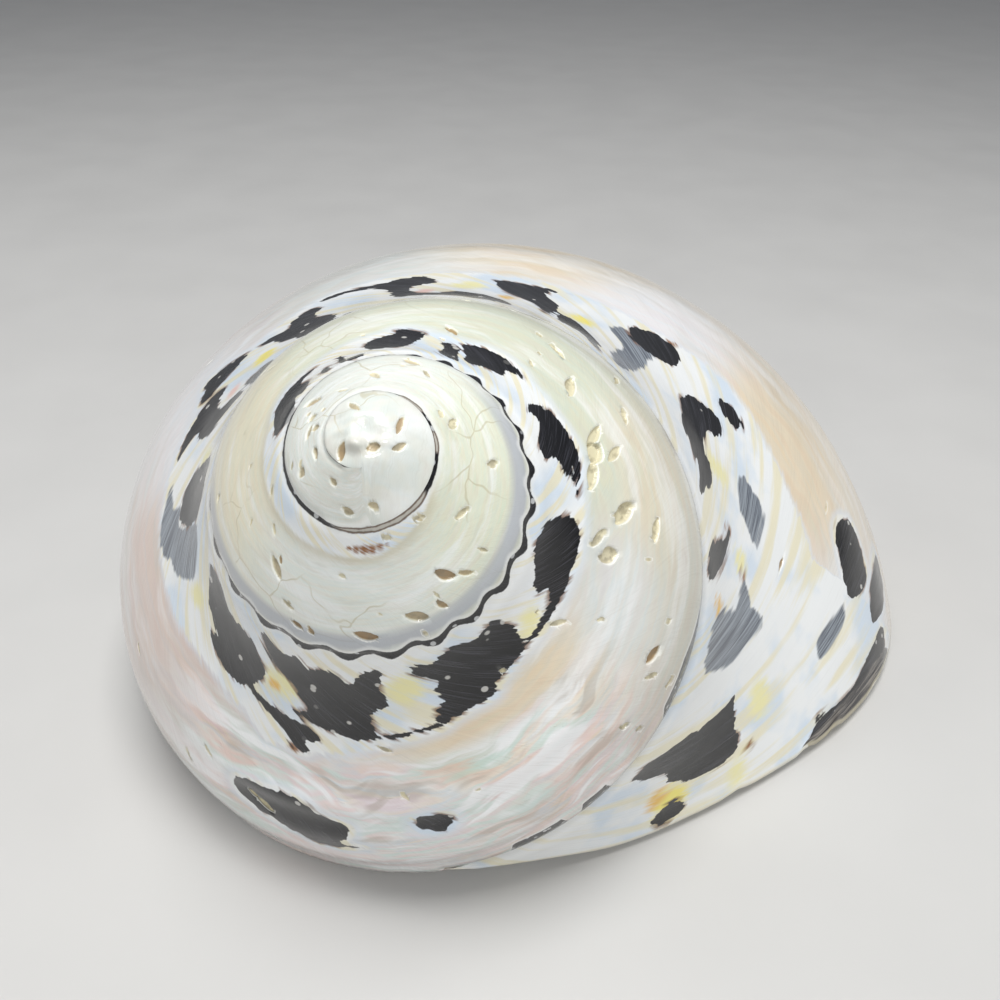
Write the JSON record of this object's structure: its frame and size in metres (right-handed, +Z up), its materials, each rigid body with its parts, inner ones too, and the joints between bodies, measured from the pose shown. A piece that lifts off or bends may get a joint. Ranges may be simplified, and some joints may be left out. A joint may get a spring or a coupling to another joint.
{
  "type": "turban shell",
  "caption": "Polished marine snail shell: low coiled spire, swollen last whorl, wide hollow aperture and umbilicus, resting on its lip.",
  "frame": {"origin": "centre of the base of the shell's box as it rests, on the surface that it stands on", "axes": "+Z up; +X along the longest side, towards the aperture's outer lip; the apex leans towards -Y"},
  "size_m": [0.0778, 0.0656, 0.0441],
  "materials": {
    "shell": "polished nacre under a white outer layer with black flames"
  },
  "bodies": {
    "root": {"shell": "shell"}
  },
  "joints": []
}
